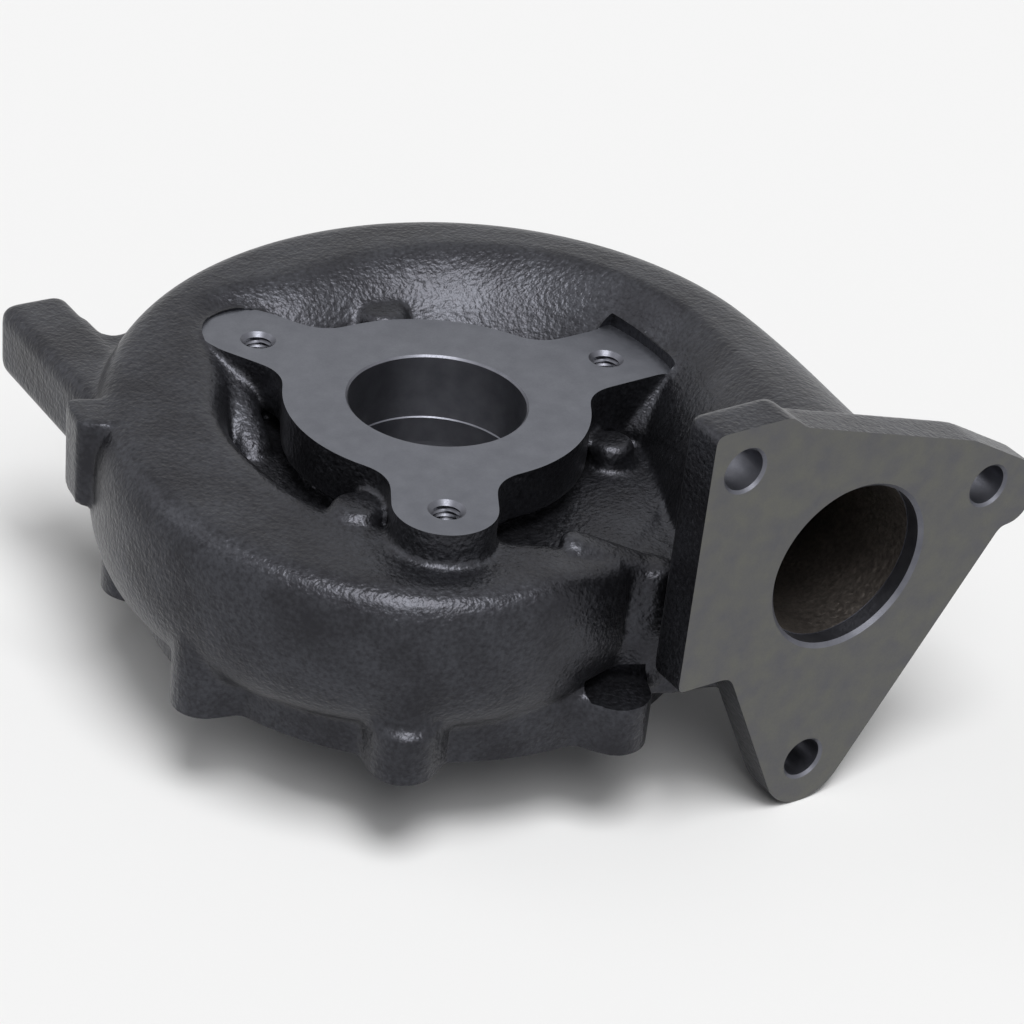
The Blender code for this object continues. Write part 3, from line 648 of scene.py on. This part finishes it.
def machined(name, colours, direction, marks):
    """Bare cut iron: an even grey sheen, softly mottled, with faint tool marks in rings or in bands."""
    material = new_material(name)
    shader = material.node_tree.nodes["Principled BSDF"]
    links = material.node_tree.links
    place = add(material, "ShaderNodeTexCoord").outputs["Object"]
    mottle = add(material, "ShaderNodeTexNoise", {"Vector": place, "Scale": per_mm(MOTTLE), "Detail": 4.0})
    fine = add(material, "ShaderNodeTexNoise", {"Vector": place, "Scale": per_mm(FINE_GRAIN), "Detail": 2.0})
    lines = add(material, "ShaderNodeTexWave", {
        "Vector": place, "Scale": WAVE_PERIOD * per_mm(TOOL_MARKS), "Distortion": 0.3, "Detail": 1.0},
        wave_type=marks, wave_profile="SIN")
    if marks == "RINGS":
        lines.rings_direction = direction
    else:
        lines.bands_direction = direction
    ramp = add(material, "ShaderNodeValToRGB", {"Fac": spread(material, mottle.outputs["Fac"], 0, 1)})
    ramp.color_ramp.elements[0].color = srgb(colours[0])
    ramp.color_ramp.elements[1].color = srgb(colours[1])
    links.new(ramp.outputs["Color"], shader.inputs["Base Color"])
    links.new(spread(material, fine.outputs["Fac"], *BARE_ROUGHNESS), shader.inputs["Roughness"])
    scored = add(material, "ShaderNodeBump", {
        "Height": lines.outputs["Fac"], "Distance": TOOL_MARKS_DEPTH * MM, "Strength": 1.0})
    grained = add(material, "ShaderNodeBump", {
        "Height": fine.outputs["Fac"], "Distance": FINE_GRAIN_DEPTH * MM, "Strength": 1.0,
        "Normal": scored.outputs["Normal"]})
    links.new(grained.outputs["Normal"], shader.inputs["Normal"])
    shader.inputs["Metallic"].default_value = 1.0
    return material


def cutter(mesh, material):
    """Adds a solid that is cut out of the casting and leaves its material on the cut."""
    mesh.materials.append(material)
    return linked(mesh.name, mesh, cutters)


turned_iron = machined("turned_iron", (BARE_IRON_DULL, BARE_IRON), "Z", "RINGS")
milled_iron = machined("milled_iron", (MILLED_IRON_DULL, MILLED_IRON), "X", "BANDS")
wide_pad = outlet_outline(FACING_CLEARANCE)
outlet_facing = upright("outlet_facing", [(wide_pad, OUTLET_HEIGHT), (wide_pad, FACING_TOP)])
cutter(outlet_facing, turned_iron)
outlet_facing.materials.append(skin_iron)
for face in outlet_facing.polygons:
    face.material_index = 1 if abs(face.normal.z) < FLAT_NORMAL else 0
left, right, bottom, top = INLET_FACING
inlet_side = [(left, bottom), (right, bottom), (right, top), (left, top)]
cutter(forward("inlet_facing", [
    (inlet_side, -INLET_REACH - INLET_FACING_DEPTH), (inlet_side, -INLET_REACH)]), milled_iron)
base_side = circle((0, 0), BOSS_REACH + FACING_MARGIN, FACING_SIDES)
cutter(upright("base_facing", [(base_side, -STOCK - BASE_FACING_DEPTH), (base_side, 0)]), turned_iron)
spot = circle(polar(BOSS_REACH - BOSS_RADIUS, SPOT_FACED), SPOT_FACE_RADIUS, SPOT_FACE_SIDES)
cutter(upright("spot_facing", [
    (spot, SPOT_FACE_HEIGHT), (spot, SPOT_FACE_HEIGHT + SPOT_FACE_CUT)]), skin_iron)

# Bores: the stepped outlet bore, the turbine wheel's shroud, and the open cavity and register that
# take the centre housing. They are turned in one setting on the turbine axis.
BORE_IRON = "#6c6d74"
BORE_IRON_DULL = "#5e5f66"
OUTLET_BORE = 44.0
STEP_BORE = 43.4              # below the step it narrows down to the shroud
SHROUD_BORE = 41.5
STEP_DEPTH = 17.5
SHROUD_RADIUS = 25.5
SHROUD_TOP = 31.0
CAVITY_RADIUS = 55.0
CAVITY_DEPTH = 26.0
REGISTER_RADIUS = 61.0
REGISTER_DEPTH = 5.0
EDGE_BREAK = 0.5              # chamfer on a machined edge
SHROUD_TAPER = 2.0
STEP_TAPER = 0.3
STAND_OUT = 1.0               # how far a cutter stands out of the face that it cuts
BORE_SIDES = 128

bored_iron = machined("bored_iron", (BORE_IRON_DULL, BORE_IRON), "Z", "BANDS")
profile = (
    (REGISTER_RADIUS + EDGE_BREAK + STAND_OUT, -STAND_OUT), (REGISTER_RADIUS, EDGE_BREAK),
    (REGISTER_RADIUS, REGISTER_DEPTH), (CAVITY_RADIUS, REGISTER_DEPTH), (CAVITY_RADIUS, CAVITY_DEPTH),
    (SHROUD_RADIUS, CAVITY_DEPTH), (SHROUD_RADIUS, SHROUD_TOP), (SHROUD_BORE / 2, SHROUD_TOP + SHROUD_TAPER),
    (STEP_BORE / 2, OUTLET_HEIGHT - STEP_DEPTH - STEP_TAPER), (OUTLET_BORE / 2, OUTLET_HEIGHT - STEP_DEPTH),
    (OUTLET_BORE / 2, OUTLET_HEIGHT - EDGE_BREAK), (OUTLET_BORE / 2 + EDGE_BREAK, OUTLET_HEIGHT),
    (OUTLET_BORE / 2 + EDGE_BREAK, OUTLET_HEIGHT + STAND_OUT),
)
bores = [(circle((0, 0), radius, BORE_SIDES), height) for radius, height in profile]
cutter(upright("bores", bores), bored_iron)

# Gas passage: the cored channel inside the duct and scroll, left as cast. It opens into the cavity
# all round, and its mouth in the inlet plate is bored to 43 mm with a broken edge.
WALL = 5.0
ROOF = 5.5                    # wall over the passage
INLET_PORT = 43.0
CORE_STOCK = 0.1              # the cored mouth is this much smaller in radius than the bored one
PASSAGE_FLOOR = 14.0
PASSAGE_INNER = 49.0
PASSAGE_STEEP = 10.0          # how far its inner foot moves out beside the duct
PASSAGE_LIP = 24.0            # from this height the inner wall leans outwards
PASSAGE_ARCH = 6.0            # least height between its widest point and its top
PASSAGE_CROWN = 7.0           # least distance from its outermost point in to its top
PASSAGE_POWERS = (2.6, 1.2, 2.4, 2.4)
PASSAGE_NARROWS = 170.0       # from here it draws in to its end
PASSAGE_END_SHARE = 0.45      # size of the last section against the wall round it
PASSAGE_STEPS = 12
PASSAGE_DUCT_RINGS = 14
PASSAGE_RING_EVERY = 5.0
CORED_DARK = "#6a6460"        # not blasted, and a little browner than the outside; also paler, as painted light inside the passage
CORED_WORN = "#857e78"
MOUTH_BREAK = 1.0             # broken edge of the mouth
MOUTH_FLARE = 3.0             # and how far the cutter opens beyond it, outside the plate
MOUTH_DEPTH = 5.0
MOUTH_SIDES = 96


def passage_sizes(wound):
    """Sizes of the passage after so many degrees, inside those of the scroll."""
    outer, crest, slope, _, top, belly, _, _, _ = scroll_sizes(wound)
    inner = PASSAGE_INNER + PASSAGE_STEEP * steepness(wound)
    narrowing = smooth_step((wound - PASSAGE_NARROWS) / (TAIL_END - PASSAGE_NARROWS))
    share = 1 - (1 - PASSAGE_END_SHARE) * narrowing
    top = PASSAGE_FLOOR + (top - ROOF - PASSAGE_FLOOR) * share
    outer = inner + (outer - WALL - inner) * share
    crest = min(crest, outer - PASSAGE_CROWN)
    slope = min(slope - WALL / 2, crest - CREST_LEAST)
    lip = min(PASSAGE_LIP, top - PASSAGE_ARCH)
    belly = min(belly, top - PASSAGE_ARCH)
    return [outer, crest, slope, inner, top, belly, lip, PASSAGE_FLOOR, PASSAGE_POWERS]


# Both cored colours are lifted as painted light, so that the passage's dark inside reads lit.
cored_iron = as_cast("cored_iron", CORED_DARK, CORED_WORN)
mouth_front = -INLET_REACH - 2 * STAND_OUT
cutter(loft("passage", swept(
    passage_sizes, INLET_PORT / 2 - CORE_STOCK, mouth_front, TAIL_END,
    PASSAGE_STEPS, PASSAGE_DUCT_RINGS, PASSAGE_RING_EVERY)), cored_iron)
port = (PORT_X, PORT_Z)
mouth_levels = (
    (INLET_PORT / 2 + MOUTH_FLARE, mouth_front), (INLET_PORT / 2 + MOUTH_BREAK, -INLET_REACH),
    (INLET_PORT / 2, MOUTH_BREAK - INLET_REACH), (INLET_PORT / 2, MOUTH_DEPTH - INLET_REACH),
)
mouth_rings = [(circle(port, radius, MOUTH_SIDES), y) for radius, y in mouth_levels]
cutter(forward("port_mouth", mouth_rings), bored_iron)

# Screw holes: three tapped M8 holes in the outlet pad, three plain 10.5 mm holes in the inlet plate
# and eight tapped M8 holes in the base. All have a countersunk or broken edge.
HOLE_CIRCLE = 101.4
FIRST_HOLE = 1.3
THREAD_PITCH = 1.25
THREAD_RADII = (3.4, 4.0)     # at its crests and at its roots
THREAD_SIDES = 32
RINGS_PER_TURN = 4
OUTLET_HOLE_DEPTH = 12.5
BASE_HOLE_DEPTH = 9.5
SINK = 4.5                    # radius of the countersink at the face
INLET_HOLE = 10.5
HOLE_BREAK = 0.7              # broken edge of a plain hole
HOLE_SIDES = 48
HOLE_END = 6.0                # how far the plain holes' cutters run out behind the plate
INLET_HOLES = ((26.0, 79.0), (103.2, 56.3), (59.6, -11.8))


def tapped(name, centre, face, depth, way):
    """A threaded hole that goes into a face, with way +1 for up and -1 for down."""
    crest, root = THREAD_RADII
    sunk = SINK - crest
    steps = RINGS_PER_TURN * math.ceil((depth - sunk) / THREAD_PITCH)
    levels = [(SINK + STAND_OUT, -STAND_OUT, False), (SINK, 0.0, False), (crest, sunk, False)]
    for i in range(1, steps + 1):
        levels.append((0, sunk + (depth - sunk) * i / steps, True))
    rings = []
    for radius, down, threaded in levels:
        ring = []
        for k in range(THREAD_SIDES):
            phase = (down / THREAD_PITCH + way * k / THREAD_SIDES) % 1
            reach = crest + (root - crest) * (1 - abs(2 * phase - 1))
            x, y = polar(reach if threaded else radius, 360 * k / THREAD_SIDES)
            ring.append((centre[0] + x, centre[1] + y, face + way * down))
        rings.append(ring)
    return loft(name, rings)


for i in range(3):
    centre = polar(HOLE_CIRCLE / 2, FIRST_HOLE + 120 * i)
    cutter(tapped("outlet_thread", centre, OUTLET_HEIGHT, OUTLET_HOLE_DEPTH, -1), bored_iron)
for angle, _ in BOSSES:
    centre = polar(BOSS_REACH - BOSS_RADIUS, angle)
    cutter(tapped("base_thread", centre, 0, BASE_HOLE_DEPTH, 1), bored_iron)
hole_levels = (
    (INLET_HOLE / 2 + HOLE_BREAK + STAND_OUT, -INLET_REACH - STAND_OUT),
    (INLET_HOLE / 2 + HOLE_BREAK, -INLET_REACH), (INLET_HOLE / 2, HOLE_BREAK - INLET_REACH),
    (INLET_HOLE / 2, INLET_THICKNESS + HOLE_END - INLET_REACH),
)
for centre in INLET_HOLES:
    levels = [(circle(centre, radius, HOLE_SIDES), y) for radius, y in hole_levels]
    cutter(forward("inlet_hole", levels), bored_iron)

# Finished housing: the rough casting with all of the cuts taken, as one piece that stands for the
# CAD node.
SHARP = 34                    # edges steeper than this many degrees stay crisp

cut = housing.modifiers.new("machining", "BOOLEAN")
cut.operation = "DIFFERENCE"
cut.solver = "MANIFOLD"
cut.operand_type = "COLLECTION"
cut.collection = cutters
cut.material_mode = "TRANSFER"
evaluated(housing)
for obj in list(cutters.objects):
    bpy.data.objects.remove(obj)
bpy.data.collections.remove(cutters)
housing.data.shade_smooth()
housing.data.set_sharp_from_angle(angle=math.radians(SHARP))
for face in housing.data.polygons:
    if housing.data.materials[face.material_index] in (turned_iron, milled_iron):
        face.use_smooth = False
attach(housing, "root")
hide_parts("turbine_housing")

# Floor: a wide sheet of plain white board under the lowest point of the inlet plate. It fills the
# whole view, and it takes the housing's soft shadow.
FLOOR_DROP = 0.1
FLOOR_SPAN = 6.0              # in metres
FLOOR_WHITE = "#ececec"


def white_board():
    """Matt board without a sheen, so that it shows an even white and a soft shadow."""
    material = new_material("white_board")
    shader = material.node_tree.nodes["Principled BSDF"]
    shader.inputs["Base Color"].default_value = srgb(FLOOR_WHITE)
    shader.inputs["Roughness"].default_value = 0.9
    shader.inputs["Specular IOR Level"].default_value = 0.0
    return material


board = bmesh.new()
bmesh.ops.create_grid(board, x_segments=1, y_segments=1, size=FLOOR_SPAN / 2)
bmesh.ops.translate(board, verts=board.verts, vec=(0, 0, cad_box[0][2] - FLOOR_DROP * MM))
floor_mesh = bpy.data.meshes.new("floor")
board.to_mesh(floor_mesh)
board.free()
floor_mesh.materials.append(white_board())
floor = linked("floor", floor_mesh, bpy.context.scene.collection)

# Studio light: a large soft key from high above, a weaker one from the camera's side, a faint one from
# behind, and an even pale room round them.
ROOM = 0.16
BACKDROP = 0.97
# Name, direction towards it, strength, and its width in the sky in degrees
LAMPS = (
    ("key", (-0.1, -0.28, 0.95), 2.25, 28),
    ("front", (-0.28, -0.56, 0.78), 0.8, 30),
    ("left_back", (-0.55, 0.45, 0.65), 0.25, 34),
)


def lamp(name, direction, strength, angle):
    light = bpy.data.lights.new(name, "SUN")
    light.energy = strength
    light.angle = math.radians(angle)
    obj = linked(name, light, bpy.context.scene.collection)
    obj.rotation_euler = Vector(direction).to_track_quat("Z", "Y").to_euler()


for name, direction, strength, angle in LAMPS:
    lamp(name, direction, strength, angle)
world = bpy.data.worlds.new("studio")
world.use_nodes = True
room = world.node_tree.nodes["Background"]
room.inputs["Color"].default_value = (1, 1, 1, 1)
# The camera sees a white backdrop beyond the board, and bare metal mirrors it. As light on a matt
# surface only the weaker light of the room counts.
path = add(world, "ShaderNodeLightPath")
mirrored = add(world, "ShaderNodeMath", {
    0: path.outputs["Is Glossy Ray"], 1: path.outputs["Is Transmission Ray"]}, operation="MAXIMUM")
white = add(world, "ShaderNodeMath", {
    0: path.outputs["Is Camera Ray"], 1: mirrored.outputs[0]}, operation="MAXIMUM")
seen = add(world, "ShaderNodeMapRange", {
    "Value": white.outputs[0], "To Min": ROOM, "To Max": BACKDROP})
world.node_tree.links.new(seen.outputs["Result"], room.inputs["Strength"])
bpy.context.scene.world = world

# Camera: a long lens that looks down on the housing from the front left, as in the photograph.
LENS = 98.44
SENSOR = 36
CAMERA_PLACE = (-0.33116, -0.49440, 0.39330)  # in metres

camera = bpy.data.cameras.new("camera")
camera.lens = LENS
camera.sensor_width = SENSOR
viewer = linked("camera", camera, bpy.context.scene.collection)
right = Vector((0.8401, -0.53375, 0.09666))
down = Vector((-0.21287, -0.48831, -0.84631))
ahead = Vector((0.49891, 0.69041, -0.52385))
turn = Matrix((right, -down, -ahead)).transposed()
viewer.matrix_world = Matrix.Translation(CAMERA_PLACE) @ turn.to_4x4()
bpy.context.scene.camera = viewer
bpy.context.scene.view_settings.view_transform = "Standard"
